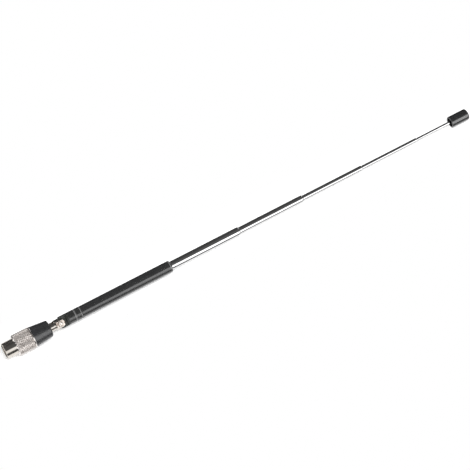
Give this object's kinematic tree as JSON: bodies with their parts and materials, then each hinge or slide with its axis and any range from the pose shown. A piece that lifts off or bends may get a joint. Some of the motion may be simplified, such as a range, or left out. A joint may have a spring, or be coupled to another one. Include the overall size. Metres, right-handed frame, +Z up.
{
  "type": "telescopic antenna",
  "caption": "Telescopic rod antenna with a knurled coaxial aerial plug, swivel stem, elbow joint, black sleeved base and black tip cap.",
  "frame": {"origin": "on the axis, where the plug's barrel leaves the knurled body", "axes": "+X along the rod towards the tip, +Z up, with the elbow's pin leaning 42 degrees from +Z towards -Y"},
  "size_m": [0.3098, 0.0126, 0.0126],
  "materials": {
    "nickel": "bright nickel plate on turned brass",
    "knurled_nickel": "satin nickel plate on a diamond knurl",
    "chrome_plate": "bright chrome plate on drawn brass tube",
    "black_plastic": "glossy black moulded plastic",
    "satin_black": "satin black moulded plastic",
    "black_sleeve": "semi-gloss black insulating sleeve",
    "black_lacquer": "black lacquer on metal",
    "brass": "bare spring brass",
    "spring_steel": "bare spring steel",
    "insulator": "natural white moulded plastic"
  },
  "bodies": {
    "plug": {"plug_shell": "nickel", "insulator": "insulator", "centre_pin": "nickel", "contact_spring": "spring_steel", "knurled_body": "knurled_nickel", "boot": "satin_black", "swivel_washer": "spring_steel"},
    "stem": {"stem_fork": "nickel", "stem_collar": "brass", "hinge_pin": "nickel"},
    "base": {"hinge_housing": "black_lacquer", "hinge_washers": "spring_steel", "ferrule": "black_lacquer", "base_tube": "chrome_plate", "black_sleeve": "black_sleeve"},
    "first_tube": {"tube_1": "chrome_plate", "bush_1": "brass"},
    "second_tube": {"tube_2": "chrome_plate", "bush_2": "brass"},
    "third_tube": {"tube_3": "chrome_plate", "bush_3": "brass"},
    "fourth_tube": {"tube_4": "chrome_plate", "bush_4": "brass"},
    "tip": {"tip_rod": "chrome_plate", "bush_5": "brass", "tip_cap": "black_plastic"}
  },
  "joints": [
    {"name": "stem_swivel", "type": "hinge", "parent": "plug", "child": "stem", "pos_m": [0.02, 0, 0], "axis": [1, 0, 0], "continuous": true},
    {"name": "elbow", "type": "hinge", "parent": "stem", "child": "base", "pos_m": [0.0281, 0, 0], "axis": [0, -0.6691, 0.7431], "range_deg": [-90, 90]},
    {"name": "first_slide", "type": "slide", "parent": "base", "child": "first_tube", "axis": [1, 0, 0], "range_m": [-0.0448, 0]},
    {"name": "second_slide", "type": "slide", "parent": "first_tube", "child": "second_tube", "axis": [1, 0, 0], "range_m": [-0.0424, 0]},
    {"name": "third_slide", "type": "slide", "parent": "second_tube", "child": "third_tube", "axis": [1, 0, 0], "range_m": [-0.0403, 0]},
    {"name": "fourth_slide", "type": "slide", "parent": "third_tube", "child": "fourth_tube", "axis": [1, 0, 0], "range_m": [-0.0377, 0]},
    {"name": "tip_slide", "type": "slide", "parent": "fourth_tube", "child": "tip", "axis": [1, 0, 0], "range_m": [-0.0248, 0.0115]}
  ]
}
